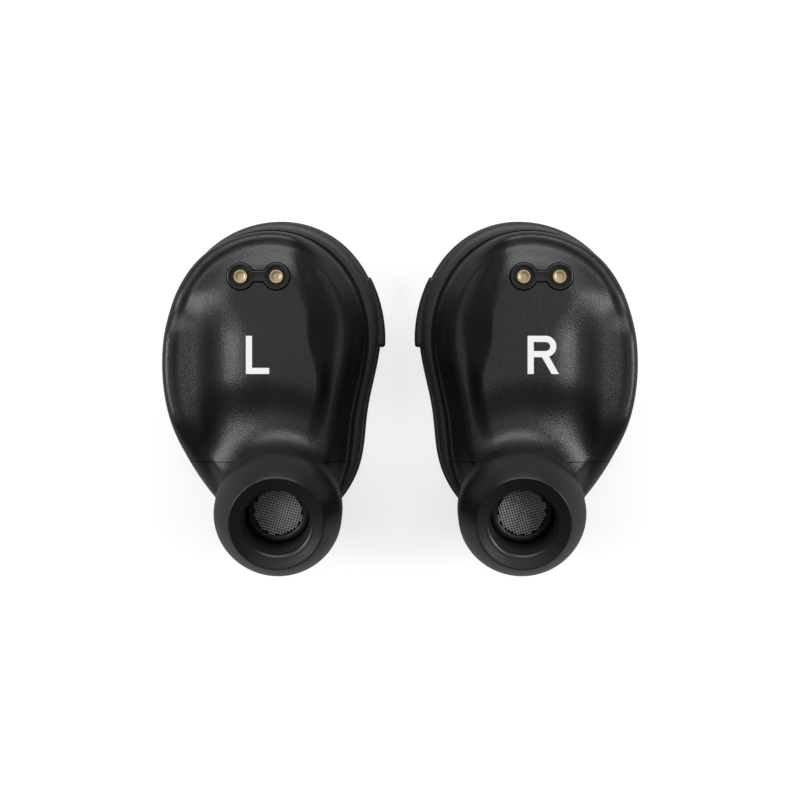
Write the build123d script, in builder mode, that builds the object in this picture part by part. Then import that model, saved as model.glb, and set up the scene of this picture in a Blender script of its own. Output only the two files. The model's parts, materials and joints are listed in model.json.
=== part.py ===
from build123d import *
import os
from math import cos, radians, sin

# A pair of true wireless earbuds lying on their outer faces, ear side up.
# Frame: X across the pair, +Y towards the tops of the buds, +Z up out of the resting surface,
# origin on that surface midway between the buds. Millimetres.
# Every piece is drawn for the left bud; the right bud is its mirror image about X = 0.

# Overall sizes of one bud
bud_spacing = 25.65      # from one shell's centre to the other's
shell_width = 19.85
shell_length = 29.7
shell_centre_y = 1.2
wall = 1.1               # moulded walls of the cover and of the shells

# Heights above the resting surface
faceplate_thickness = 1.45
floor_thickness = 0.6    # the cover's floor, glued on the faceplate
seam_height = 5.6        # parting line between the cover and the ear side
flange_height = 7.8      # rim of the ear side shell
plateau_height = 11.1    # flat top of the mound under the letter

# Edges and slopes
faceplate_radius = 0.8
rim_radius = 1.5
plateau_radius = 0.7
mound_slope = 1.4        # how far the mound's foot stands out from its flat top
mound_foot = 1.0         # height of that foot above the seam, hidden in the flange
cover_grow = 0.1         # how much wider the cover is at its foot than at the seam
cover_shift = (0.7, 0.65)
faceplate_grow = 0.25
faceplate_shift = (0.8, 0.75)

# Step joint between the cover and the ear side
lip_height = 0.7
lip_inset = 0.6
joint_gap = 0.05
joint_depth_gap = 0.05
lip_root = 0.3           # how far the lip runs on into the shell above it
overrun = 0.1            # how far a cut runs past the face it opens

# Mound. Its place is counted from the shell's centre.
flange_sides = 6.4       # how much narrower the mound's top is than the shell
flange_ends = 4.4
mound_centre = (-0.05, 0.3)

# Nozzle and ear tip. Places along the nozzle's axis are counted from the ear tip's rear rim.
nozzle_tilt = 14.0              # degrees, from straight up towards the bud's narrow end
nozzle_x = 1.475                # from the shell's centre line
nozzle_from_end = 3.35          # from the bud's narrow end
nozzle_foot_height = 12.0
parting_from_end = 7.4          # seam between the inner shell and the nozzle housing
nozzle_bore_r = 2.3
nozzle_neck_r = 2.7
nozzle_lip_r = 3.0
nozzle_lip_length = 0.9
nozzle_end = 2.2
nozzle_boss_r = 4.6
nozzle_boss_foot_r = 6.2
nozzle_boss_top = -0.6
nozzle_boss_foot = -3.2
nozzle_boss_root = 1.5          # how far the boss runs on into the dome
nozzle_boss_inset = 0.15        # how far it stays inside the outline
nozzle_lip_bevel = 0.3
collar_wall = 0.85
collar_end = -6.4
screen_thickness = 0.12
screen_depth = 0.2
ear_tip_r = 6.0
ear_tip_length = 6.2
ear_tip_ring_r = 4.6            # crest of the rounded front
ear_tip_round = 1.9             # length of the rounded front
ear_tip_skirt = 0.6
ear_tip_stem_wall = 0.85
ear_tip_clearance = 0.03        # the silicone bore on the nozzle's lip
ear_tip_stem_end = -0.35
ear_tip_mouth_depth = 0.55
ear_tip_web = 0.5               # thickness of the web between stem and skirt
ear_tip_skirt_taper = 0.25
ear_tip_draft = 0.05
ear_tip_rim_round = 0.2
ear_tip_flank = (0.45, 1.05)    # a point of the rounded front, in from the side and up from the shoulder

# Side button
button_place = 0.165            # along the outline, from its top, clockwise
button_length = 6.3
button_low = 2.25
button_high = 4.65
button_proud = 1.5              # from the outline at the seam
button_gap = 0.1
button_round = 0.3
button_retainer = 0.5           # how far the retainer reaches past the button at each end
button_retainer_thickness = 0.4
button_root = 0.1               # how far the button runs on into its retainer
retainer_gap = 0.02             # between the retainer and the wall it rests against
plunger_r = 0.5
plunger_engaged = 0.35
plunger_gap = 0.08              # from the retainer's curved back
switch_size = (3.0, 1.6, 1.5)   # along the wall, into the bud, up
switch_gap = 0.85               # from the retainer to the switch
plunger_hole_depth = 1.0
switch_corner = 0.2

# Charging contacts
contact_spacing = 3.38
contact_x = -0.535              # from the shell's centre line
contact_from_end = 4.8          # from the bud's wide end
contact_r = 0.7
contact_shank_r = 0.45
contact_foot_r = 0.8
contact_recess = 0.2            # top of a contact below the holder's rim
contact_chamfer = 0.12
well_r = 1.05
well_depth = 0.95
holder_r = 1.3
holder_bridge = 1.05
holder_proud = 0.12
holder_flange = 0.15
holder_flange_thickness = 0.55
holder_gap = 0.05
holder_edge = 0.12
holder_link_depth = 0.35        # recess in the bridge between the wells
holder_link_sides = 0.55
holder_link_shift = 0.12
contact_foot_thickness = 0.2
flex_thickness = 0.15
flex_width = 1.6
flex_from_wall = 0.2            # from the inside of the mound's end wall to the flex's drop

# Battery, a coin cell, and the electronics
battery_r = 5.0
battery_height = 5.4
battery_place = (-0.475, 2.85)  # from the shell's centre
battery_edge = 0.35
pad_thickness = 0.25
tab_thickness = 0.15
tab_width = 2.0
board_inset = 2.3
board_thickness = 0.6
board_standoff = 0.4
board_from_end = 10.7           # the board's straight edge, from the bud's narrow end
standoff_r = 0.7
standoff_from_edge = 1.2
standoff_aside = 1.5
chip_size = (2.6, 2.4, 0.6)
chip_x = -4.0                   # from the shell's centre line
chip_from_end = 4.9             # from the bud's wide end
chip_edge = 0.08
antenna_size = (3.2, 1.2, 0.8)
antenna_from_side = 6.7         # from the bud's inner side
antenna_from_end = 4.7
antenna_edge = 0.15
microphone_size = (2.2, 1.6, 0.9)
microphone_from_side = 4.425
microphone_from_edge = 1.55     # from the board's straight edge
microphone_port_r = 0.35
microphone_corner = 0.25
microphone_edge = 0.15
led_size = (1.0, 0.6)
led_x = 2.225
led_from_edge = 0.85
light_guide_r = 0.5
light_guide_gap = 0.03
light_guide_recess = 0.05       # its end is this far inside the outer face
light_guide_edge = 0.08
magnet_size = (3.2, 2.6, 1.8)
magnet_x = -3.875               # from the shell's centre line
magnet_from_edge = 1.8          # past the board's straight edge
magnet_edge = 0.15

# Driver, a 6 mm moving coil unit inside the nozzle's collar
driver_r = 3.0
driver_gap = 0.05
driver_back = -6.2
driver_front = -3.6
gasket_thickness = 0.25
gasket_width = 0.55
frame_wall = 0.25
frame_ledge = 0.85
frame_ledge_depth = 0.9
yoke_wall = 0.4
yoke_gap = 0.05
yoke_floor = 0.5
yoke_recess = 0.1
magnet_disc_r = 1.15
magnet_disc_height = 0.9
coil_r = 1.4
coil_wall = 0.15
coil_height = 1.2
diaphragm_r = 2.55
diaphragm_thickness = 0.08
diaphragm_depth = 0.35

# Printed letters
letter_height = 3.6
letter_stroke = 0.58
letter_ink = 0.03
letter_place = (-0.6, 2.65)     # from the shell's centre
l_width = 2.2
r_stem_to_bowl = 1.7            # from the left edge of the R to its bowl's centre
r_bowl_share = 0.28             # the bowl's radius, as a share of the letter's height
r_left = -1.4                   # these are counted across from the letter's place
r_right = 1.55
r_leg_left = 0.1
r_leg_width = 0.75
r_leg_foot = 0.67

# Worked out from the sizes above
shell_centre = (-bud_spacing / 2, shell_centre_y)


def placed(place):
    """A place counted from the shell's centre, in the pair's frame."""
    return (shell_centre[0] + place[0], shell_centre[1] + place[1])


mound_width = shell_width - flange_sides
mound_length = shell_length - flange_ends
half_width = shell_width / 2
half_length = shell_length / 2
board_end = board_from_end - half_length
contact_centre = placed((contact_x, half_length - contact_from_end))
battery_centre = placed(battery_place)
chip_centre = placed((chip_x, half_length - chip_from_end))
antenna_centre = placed((half_width - antenna_from_side, half_length - antenna_from_end))
microphone_centre = placed((half_width - microphone_from_side, board_end + microphone_from_edge))
led_centre = placed((led_x, board_end + led_from_edge))
magnet_centre = placed((magnet_x, board_end - magnet_from_edge))
letter_centre = placed(letter_place)
nozzle_foot = (*placed((nozzle_x, nozzle_from_end - half_length)), nozzle_foot_height)
parting_y = shell_centre[1] + parting_from_end - half_length
board_end_y = shell_centre[1] + board_end
floor_top = faceplate_thickness + floor_thickness
board_low = floor_top + board_standoff
board_top = board_low + board_thickness
battery_low = board_top + pad_thickness
battery_top = battery_low + battery_height
holder_top = plateau_height + holder_proud
contact_top = holder_top - contact_recess
well_floor = holder_top - well_depth
holder_low = plateau_height - wall - holder_gap - holder_flange_thickness
collar_r = driver_r + driver_gap + collar_wall
flex_low = holder_low - contact_foot_thickness - flex_thickness
contact_points = [(contact_centre[0] + side * contact_spacing / 2, contact_centre[1]) for side in (-1, 1)]

nozzle_axis = Vector(0, -sin(radians(nozzle_tilt)), cos(radians(nozzle_tilt)))
nozzle_section = Plane(origin=nozzle_foot, x_dir=(1, 0, 0), z_dir=nozzle_axis.cross(Vector(1, 0, 0)) * -1)
nozzle_line = Axis(nozzle_foot, nozzle_axis)

# The egg outline of a bud and the outline of its mound, as shares of their width and length
egg = [(0.047, 0.5), (0.319, 0.426), (0.5, 0.153), (0.4345, -0.116), (0.389, -0.305),
       (0.057, -0.5), (-0.296, -0.332), (-0.462, -0.12), (-0.5, 0.093), (-0.316, 0.409)]
mound = [(-0.07, 0.5), (0.27, 0.415), (0.448, 0.23), (0.5, 0.004), (0.433, -0.258),
         (0.13, -0.5), (-0.233, -0.298), (-0.456, -0.077), (-0.5, 0.125), (-0.396, 0.351)]


def egg_points(grow=0.0, shift=(0.0, 0.0)):
    """Points of the egg outline, wider all round by grow."""
    return [(shell_centre[0] + shift[0] + u * (shell_width + 2 * grow),
             shell_centre[1] + shift[1] + v * (shell_length + 2 * grow)) for u, v in egg]


def mound_points(grow=0.0):
    """Points of the mound's outline, wider all round by grow."""
    return [(shell_centre[0] + mound_centre[0] + u * (mound_width + 2 * grow),
             shell_centre[1] + mound_centre[1] + v * (mound_length + 2 * grow)) for u, v in mound]


def closed_face(height, points):
    """A smooth closed face through points, level at a height."""
    with BuildSketch(Plane.XY.offset(height)) as face:
        with BuildLine():
            Spline(*points, periodic=True)
        make_face()
    return face.sketch


def turned(profile, mode=Mode.ADD):
    """Points (radius, place along the nozzle's axis) turned about that axis."""
    with BuildSketch(nozzle_section) as face:
        with BuildLine():
            Polyline(*profile, close=True)
        make_face()
    return revolve(face.sketch, axis=nozzle_line, mode=mode)


def ring(outer_r, inner_r, low, high):
    """Profile of a plain ring about the nozzle's axis."""
    return [(inner_r, low), (outer_r, low), (outer_r, high), (inner_r, high)]


def dome(inset):
    """Outer form of the ear side, or its cavity when inset by a wall."""
    low = seam_height - (joint_depth_gap if inset else 0)
    hill_low = min(seam_height + mound_foot, flange_height - inset - overrun)
    with BuildPart() as hill:
        loft([closed_face(hill_low, mound_points(mound_slope - inset)).face(),
              closed_face(plateau_height - inset, mound_points(-inset)).face()])
        fillet(hill.faces().sort_by(Axis.Z)[-1].edges(), plateau_radius - inset / 2)
    with BuildPart() as form:
        extrude(closed_face(low, egg_points(-inset)), amount=flange_height - inset - low)
        fillet(form.faces().sort_by(Axis.Z)[-1].edges(), rim_radius - inset / 2)
        add(hill.part)
    return form.part


def boss():
    """Cone that carries the nozzle, kept inside the bud's outline."""
    with BuildPart() as form:
        turned([(0, nozzle_boss_foot - nozzle_boss_root),
                (nozzle_boss_foot_r, nozzle_boss_foot - nozzle_boss_root),
                (nozzle_boss_foot_r, nozzle_boss_foot), (nozzle_boss_r, nozzle_boss_top),
                (0, nozzle_boss_top)])
        extrude(closed_face(seam_height, egg_points(-nozzle_boss_inset)), amount=plateau_height,
                mode=Mode.INTERSECT)
    return form.part


ear_side = dome(0)
ear_side_cavity = dome(wall)
nozzle_boss = boss()
parting = Plane(origin=(0, parting_y, 0), x_dir=(1, 0, 0), z_dir=(0, 1, 0))


# Faceplate: the outer face, which the bud lies on
with BuildPart() as faceplate:
    extrude(closed_face(0, egg_points(faceplate_grow, faceplate_shift)), amount=faceplate_thickness)
    fillet(faceplate.faces().sort_by(Axis.Z)[0].edges(), faceplate_radius)
    with BuildSketch(Plane.XY) as guide_hole:
        with Locations(led_centre):
            Circle(light_guide_r + light_guide_gap)
    extrude(amount=faceplate_thickness, mode=Mode.SUBTRACT)
    with BuildSketch(Plane.XY) as port:
        with Locations(microphone_centre):
            Circle(microphone_port_r)
    extrude(amount=faceplate_thickness, mode=Mode.SUBTRACT)

# The button's place on the wall: its plane faces outwards, with X along the wall
with BuildLine() as seam_line:
    Spline(*egg_points(), periodic=True)
button_spot = seam_line.edges()[0] @ button_place
button_run = seam_line.edges()[0] % button_place
button_out = Vector(0, 0, 1).cross(button_run)
button_mid = (button_low + button_high) / 2
button_plane = Plane(origin=(button_spot.X, button_spot.Y, button_mid), x_dir=button_run, z_dir=button_out)


def wall_strip(length, outer, inner, low, high):
    """A curved strip that follows the outline at the button, between two offsets from it."""
    with BuildPart() as strip:
        extrude(closed_face(low, egg_points(outer)), amount=high - low)
        extrude(closed_face(low, egg_points(inner)), amount=high - low, mode=Mode.SUBTRACT)
        with BuildSketch(button_plane.offset(-shell_width / 4)) as window:
            Rectangle(length, 4 * (high - low))
        extrude(amount=shell_width / 2, mode=Mode.INTERSECT)
    return strip.part


# Outer cover: floor and wall in one moulding
with BuildPart() as cover_hollow:
    loft([closed_face(faceplate_thickness, egg_points(cover_grow - wall, cover_shift)).face(),
          closed_face(seam_height, egg_points(-wall)).face()])
    split(bisect_by=Plane.XY.offset(floor_top), keep=Keep.TOP)

with BuildPart() as outer_cover:
    loft([closed_face(faceplate_thickness, egg_points(cover_grow, cover_shift)).face(),
          closed_face(seam_height, egg_points()).face()])
    add(cover_hollow.part, mode=Mode.SUBTRACT)
    extrude(closed_face(seam_height - lip_height - joint_depth_gap, egg_points(-lip_inset)),
            amount=lip_height + joint_depth_gap, mode=Mode.SUBTRACT)
    add(wall_strip(button_length + 2 * button_gap, 2 * button_proud, -2 * wall,
                   button_low - button_gap, button_high + button_gap), mode=Mode.SUBTRACT)
    with BuildSketch(Plane.XY.offset(floor_top)) as standoffs:
        with Locations((battery_centre[0] - battery_r, battery_centre[1]),
                       (battery_centre[0], board_end_y + standoff_from_edge),
                       (battery_centre[0] + standoff_aside, battery_centre[1] + battery_r)):
            Circle(standoff_r)
    extrude(amount=board_standoff)
    with BuildSketch(Plane.XY.offset(faceplate_thickness)) as guide_hole:
        with Locations(led_centre):
            Circle(light_guide_r + light_guide_gap)
    extrude(amount=floor_thickness, mode=Mode.SUBTRACT)
    with BuildSketch(Plane.XY.offset(faceplate_thickness)) as port:
        with Locations(microphone_centre):
            Circle(microphone_port_r)
    extrude(amount=floor_thickness, mode=Mode.SUBTRACT)


def dumbbell(lobe_r, bridge):
    """Two round lobes joined by a narrower bridge."""
    with BuildSketch(Plane.XY) as face:
        with Locations(*contact_points):
            Circle(lobe_r)
        with Locations(contact_centre):
            Rectangle(contact_spacing, bridge)
    return face.sketch


# Lip under the ear side that steps into the cover
with BuildPart() as lip:
    extrude(closed_face(seam_height - lip_height, egg_points(-lip_inset - joint_gap)),
            amount=lip_height + lip_root)
    extrude(closed_face(seam_height - lip_height, egg_points(-wall)), amount=lip_height + lip_root,
            mode=Mode.SUBTRACT)
joint_lip = lip.part

# Inner shell: the ear side, with the mound, the contacts' window and the step joint's lip
with BuildPart() as inner_shell:
    add(ear_side)
    add(nozzle_boss)
    add(ear_side_cavity, mode=Mode.SUBTRACT)
    add(joint_lip)
    split(bisect_by=parting, keep=Keep.TOP)
    turned([(0, collar_end - 1), (collar_r + joint_gap, collar_end - 1), (collar_r + joint_gap, nozzle_end),
            (0, nozzle_end)], mode=Mode.SUBTRACT)
    extrude(Plane.XY.offset(holder_low) * dumbbell(holder_r + holder_gap, holder_bridge + 2 * holder_gap),
            amount=plateau_height, mode=Mode.SUBTRACT)
    extrude(Plane.XY.offset(flex_low) * dumbbell(holder_r + holder_flange + holder_gap,
                                                 holder_bridge + 2 * (holder_flange + holder_gap)),
            amount=holder_low + holder_flange_thickness + holder_gap - flex_low, mode=Mode.SUBTRACT)

# Nozzle housing: the narrow end of the ear side, with the nozzle and the driver's collar
with BuildPart() as nozzle_housing:
    add(ear_side)
    add(nozzle_boss)
    add(ear_side_cavity, mode=Mode.SUBTRACT)
    add(joint_lip)
    split(bisect_by=parting.offset(-joint_gap), keep=Keep.BOTTOM)
    turned([(0, collar_end), (collar_r, collar_end), (collar_r, nozzle_boss_top),
            (nozzle_neck_r, nozzle_boss_top),
            (nozzle_neck_r, nozzle_end - nozzle_lip_length - nozzle_lip_bevel),
            (nozzle_lip_r, nozzle_end - nozzle_lip_length), (nozzle_lip_r, nozzle_end - nozzle_lip_bevel),
            (nozzle_lip_r - nozzle_lip_bevel, nozzle_end), (0, nozzle_end)])
    turned([(0, collar_end - overrun), (driver_r + driver_gap, collar_end - overrun),
            (driver_r + driver_gap, driver_front + gasket_thickness),
            (nozzle_bore_r, driver_front + gasket_thickness), (nozzle_bore_r, nozzle_end + overrun),
            (0, nozzle_end + overrun)], mode=Mode.SUBTRACT)

# Woven screen pressed into the nozzle's mouth
with BuildPart() as nozzle_screen:
    turned(ring(nozzle_bore_r, 0, nozzle_end - screen_depth - screen_thickness, nozzle_end - screen_depth))

# Silicone ear tip: a stem that grips the nozzle and a skirt folded back over it
bore_r = nozzle_lip_r + ear_tip_clearance
stem_r = bore_r + ear_tip_stem_wall
shoulder = ear_tip_length - ear_tip_round
mouth = ear_tip_length - ear_tip_mouth_depth
with BuildPart() as ear_tip:
    with BuildSketch(nozzle_section) as profile:
        with BuildLine():
            Polyline((bore_r, mouth), (bore_r, ear_tip_stem_end), (stem_r, ear_tip_stem_end),
                     (stem_r, shoulder - ear_tip_web),
                     (ear_tip_r - ear_tip_skirt - ear_tip_skirt_taper, shoulder - ear_tip_web),
                     (ear_tip_r - ear_tip_skirt, 0), (ear_tip_r, 0), (ear_tip_r - ear_tip_draft, shoulder))
            outer_round = Spline((ear_tip_r - ear_tip_draft, shoulder),
                                 (ear_tip_r - ear_tip_flank[0], shoulder + ear_tip_flank[1]),
                                 (ear_tip_ring_r, ear_tip_length), tangents=[(0, 1), (-1, 0)])
            Spline(outer_round @ 1, (bore_r, mouth), tangents=[(-1, 0), (-0.25, -1)])
        make_face()
    revolve(axis=nozzle_line)
    fillet(ear_tip.edges().filter_by(GeomType.CIRCLE).sort_by(nozzle_line)[0:1], ear_tip_rim_round)

# Side button, with a retainer behind the cover's wall and a plunger into the switch
retainer_out = -wall + cover_grow
with BuildPart() as side_button:
    add(wall_strip(button_length, button_proud, retainer_out - button_root, button_low, button_high))
    outer_edges = side_button.faces().sort_by(Axis(button_plane.origin, button_out))[-1].edges()
    fillet(outer_edges, button_round)
    add(wall_strip(button_length + 2 * button_retainer, retainer_out - retainer_gap,
                   retainer_out - button_retainer_thickness, button_low, button_high))

# Tactile switch on the board behind the button. Depths are counted inwards from the outline, which
# moves by a little more or less than an offset does where the button is.
offset_at_button = (2 * (button_spot.X - shell_centre[0]) / shell_width * button_out.X
                    + 2 * (button_spot.Y - shell_centre[1]) / shell_length * button_out.Y)
retainer_depth = (button_retainer_thickness - retainer_out) * offset_at_button
switch_depth = retainer_depth + switch_gap
plunger_height = board_top + switch_size[2] / 2
plunger_spot = (button_spot.X, button_spot.Y, plunger_height)
plunger_plane = Plane(origin=plunger_spot, x_dir=button_run, z_dir=button_out)
with BuildPart() as switch_plunger:
    with BuildSketch(plunger_plane.offset(-switch_depth - plunger_engaged)) as tip_face:
        Circle(plunger_r)
    extrude(amount=switch_gap + plunger_engaged - plunger_gap)

with BuildPart() as switch_case:
    with BuildSketch(plunger_plane.offset(-switch_depth - switch_size[1])) as case_face:
        Rectangle(switch_size[0], switch_size[2])
    extrude(amount=switch_size[1])
    chamfer(switch_case.edges().filter_by(Axis.Z), switch_corner)
    with BuildSketch(plunger_plane.offset(-switch_depth - plunger_hole_depth)) as well:
        Circle(plunger_r + button_gap)
    extrude(amount=plunger_hole_depth, mode=Mode.SUBTRACT)

# Contact holder: insert with a well round each charging contact
with BuildPart() as contact_holder:
    extrude(Plane.XY.offset(holder_low + holder_flange_thickness) * dumbbell(holder_r, holder_bridge),
            amount=holder_top - holder_low - holder_flange_thickness)
    extrude(Plane.XY.offset(holder_low)
            * dumbbell(holder_r + holder_flange, holder_bridge + 2 * holder_flange),
            amount=holder_flange_thickness)
    fillet(contact_holder.faces().sort_by(Axis.Z)[-1].edges(), holder_edge)
    with BuildSketch(Plane.XY.offset(well_floor)) as wells:
        with Locations(*contact_points):
            Circle(well_r)
    extrude(amount=well_depth, mode=Mode.SUBTRACT)
    with BuildSketch(Plane.XY.offset(holder_low)) as shanks:
        with Locations(*contact_points):
            Circle(contact_shank_r)
    extrude(amount=well_floor - holder_low, mode=Mode.SUBTRACT)
    with BuildSketch(Plane.XY.offset(holder_top - holder_link_depth)) as link:
        with Locations((contact_centre[0], contact_centre[1] + holder_link_shift)):
            Rectangle(contact_spacing - 2 * well_r - overrun, holder_bridge - holder_link_sides)
    extrude(amount=holder_link_depth, mode=Mode.SUBTRACT)

# Two gold plated charging contacts
with BuildPart() as charging_contacts:
    with BuildSketch(Plane.XY.offset(well_floor)) as heads:
        with Locations(*contact_points):
            Circle(contact_r)
    extrude(amount=contact_top - well_floor)
    chamfer(charging_contacts.faces().group_by(Axis.Z)[-1].edges(), contact_chamfer)
    with BuildSketch(Plane.XY.offset(holder_low)) as shank_faces:
        with Locations(*contact_points):
            Circle(contact_shank_r)
    extrude(amount=well_floor - holder_low)
    with BuildSketch(Plane.XY.offset(holder_low - contact_foot_thickness)) as feet:
        with Locations(*contact_points):
            Circle(contact_foot_r)
    extrude(amount=contact_foot_thickness)

# Flexible circuit from the contacts down to the board
flex_drop_y = shell_centre[1] + mound_centre[1] + mound_length / 2 - wall - flex_from_wall
bend_start_y = contact_centre[1] + contact_foot_r - joint_gap
with BuildPart() as contact_flex:
    with BuildSketch(Plane.XY.offset(flex_low)) as pads:
        with Locations(contact_centre):
            SlotCenterToCenter(contact_spacing, 2 * contact_foot_r)
    extrude(amount=flex_thickness)
    with BuildSketch(Plane.XY.offset(flex_low)) as bend:
        with Locations((contact_centre[0], bend_start_y)):
            Rectangle(flex_width, flex_drop_y + flex_thickness / 2 - bend_start_y, align=(Align.CENTER, Align.MIN))
    extrude(amount=flex_thickness)
    with BuildSketch(Plane.XY.offset(board_top)) as drop:
        with Locations((contact_centre[0], flex_drop_y)):
            Rectangle(flex_width, flex_thickness)
    extrude(amount=flex_low + flex_thickness - board_top)

# Circuit board on the cover's standoffs
with BuildPart() as circuit_board:
    extrude(closed_face(board_low, egg_points(-board_inset)), amount=board_thickness)
    split(bisect_by=Plane(origin=(0, board_end_y, 0), x_dir=(1, 0, 0), z_dir=(0, 1, 0)), keep=Keep.TOP)
    with BuildSketch(Plane.XY.offset(board_low)) as port:
        with Locations(microphone_centre):
            Circle(microphone_port_r)
    extrude(amount=board_thickness, mode=Mode.SUBTRACT)

with BuildPart() as radio_chip:
    with BuildSketch(Plane.XY.offset(board_top)) as chip_face:
        with Locations(chip_centre):
            Rectangle(chip_size[0], chip_size[1])
    extrude(amount=chip_size[2])
    chamfer(radio_chip.faces().sort_by(Axis.Z)[-1].edges(), chip_edge)

with BuildPart() as antenna:
    with BuildSketch(Plane.XY.offset(board_top)) as antenna_face:
        with Locations(antenna_centre):
            Rectangle(antenna_size[0], antenna_size[1])
    extrude(amount=antenna_size[2])
    chamfer(antenna.edges().filter_by(Axis.Z), antenna_edge)

with BuildPart() as microphone:
    with BuildSketch(Plane.XY.offset(board_top)) as can_face:
        with Locations(microphone_centre):
            RectangleRounded(microphone_size[0], microphone_size[1], microphone_corner)
    extrude(amount=microphone_size[2])
    fillet(microphone.faces().sort_by(Axis.Z)[-1].edges(), microphone_edge)

# Status light under the board, and the clear pin that carries it to the outer face
with BuildPart() as status_led:
    with BuildSketch(Plane.XY.offset(floor_top)) as led_face:
        with Locations(led_centre):
            Rectangle(led_size[0], led_size[1])
    extrude(amount=board_standoff)

with BuildPart() as light_guide:
    with BuildSketch(Plane.XY.offset(light_guide_recess)) as pin_face:
        with Locations(led_centre):
            Circle(light_guide_r)
    extrude(amount=floor_top - light_guide_recess)
    chamfer(light_guide.faces().sort_by(Axis.Z)[0].edges(), light_guide_edge)

# Coin cell with its foam pad and two welded tabs
with BuildPart() as battery:
    with BuildSketch(Plane.XY.offset(battery_low)) as cell_face:
        with Locations(battery_centre):
            Circle(battery_r)
    extrude(amount=battery_height)
    fillet(battery.edges().filter_by(GeomType.CIRCLE), battery_edge)

with BuildPart() as battery_pad:
    with BuildSketch(Plane.XY.offset(board_top)) as pad_face:
        with Locations(battery_centre):
            Circle(battery_r - 2 * battery_edge)
    extrude(amount=pad_thickness)

with BuildPart() as battery_tabs:
    with BuildSketch(Plane.XY.offset(battery_top)) as top_tab:
        with Locations((battery_centre[0] + battery_r / 2 + tab_thickness, battery_centre[1])):
            Rectangle(battery_r + 2 * tab_thickness, tab_width)
    extrude(amount=tab_thickness)
    with BuildSketch(Plane.XY.offset(board_top)) as drop_tab:
        with Locations((battery_centre[0] + battery_r + 1.5 * tab_thickness, battery_centre[1])):
            Rectangle(tab_thickness, tab_width)
    extrude(amount=battery_top - board_top + tab_thickness)
    with BuildSketch(Plane.XY.offset(board_top)) as side_tab:
        with Locations((battery_centre[0], battery_centre[1] - battery_r - tab_thickness / 2)):
            Rectangle(tab_width, tab_thickness)
    extrude(amount=battery_height / 2)

# Magnet that holds the bud in its charging case
with BuildPart() as case_magnet:
    with BuildSketch(Plane.XY.offset(floor_top)) as magnet_face:
        with Locations(magnet_centre):
            Rectangle(magnet_size[0], magnet_size[1])
    extrude(amount=magnet_size[2])
    chamfer(case_magnet.edges(), magnet_edge)

# Driver
ledge_low = driver_front - frame_ledge_depth
with BuildPart() as driver_frame:
    turned([(driver_r - frame_ledge, driver_back), (driver_r, driver_back), (driver_r, driver_front),
            (driver_r - frame_wall, driver_front), (driver_r - frame_wall, ledge_low),
            (driver_r - frame_ledge, ledge_low)])

yoke_r = driver_r - frame_ledge - yoke_gap
yoke_top = ledge_low - yoke_recess
with BuildPart() as driver_yoke:
    turned([(0, driver_back), (yoke_r, driver_back), (yoke_r, yoke_top), (yoke_r - yoke_wall, yoke_top),
            (yoke_r - yoke_wall, driver_back + yoke_floor), (0, driver_back + yoke_floor)])

with BuildPart() as driver_magnet:
    turned([(0, driver_back + yoke_floor), (magnet_disc_r, driver_back + yoke_floor),
            (magnet_disc_r, driver_back + yoke_floor + magnet_disc_height),
            (0, driver_back + yoke_floor + magnet_disc_height)])

diaphragm_low = driver_front - diaphragm_depth
with BuildPart() as voice_coil:
    turned(ring(coil_r + coil_wall, coil_r, diaphragm_low - coil_height, diaphragm_low))

with BuildPart() as diaphragm:
    turned(ring(diaphragm_r, 0, diaphragm_low, diaphragm_low + diaphragm_thickness))

with BuildPart() as driver_gasket:
    turned(ring(driver_r, driver_r - gasket_width, driver_front, driver_front + gasket_thickness))


# Printed letters, built from plain strokes: their lower left corner is the sketch's origin
def letter_plane(side):
    """Plane of a letter on one bud's plateau."""
    return Plane(origin=(-side * letter_centre[0], letter_centre[1] - letter_height / 2, plateau_height))


with BuildPart() as left_letter:
    with BuildSketch(letter_plane(-1)) as strokes_l:
        with Locations((-l_width / 2, 0)):
            Rectangle(letter_stroke, letter_height, align=(Align.MIN, Align.MIN))
            Rectangle(l_width, letter_stroke, align=(Align.MIN, Align.MIN))
    extrude(amount=letter_ink)

bowl_r = letter_height * r_bowl_share
bowl_x = r_left + r_stem_to_bowl
bowl_y = letter_height - bowl_r
leg_top = bowl_y - bowl_r + letter_stroke / 3
with BuildPart() as right_letter:
    with BuildSketch(letter_plane(1)) as strokes_r:
        with Locations((r_left, 0)):
            Rectangle(letter_stroke, letter_height, align=(Align.MIN, Align.MIN))
        with Locations((r_left, bowl_y)):
            Rectangle(r_stem_to_bowl, 2 * bowl_r, align=(Align.MIN, Align.CENTER))
        with Locations((bowl_x, bowl_y)):
            Circle(bowl_r)
        with Locations((r_left + letter_stroke, bowl_y)):
            Rectangle(r_stem_to_bowl - letter_stroke, 2 * (bowl_r - letter_stroke),
                      align=(Align.MIN, Align.CENTER), mode=Mode.SUBTRACT)
        with Locations((bowl_x, bowl_y)):
            Circle(bowl_r - letter_stroke, mode=Mode.SUBTRACT)
        with BuildLine():
            Polyline((r_leg_left, leg_top), (r_leg_left + r_leg_width, leg_top),
                     (r_right, 0), (r_right - r_leg_foot, 0), close=True)
        make_face()
    extrude(amount=letter_ink)

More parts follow.
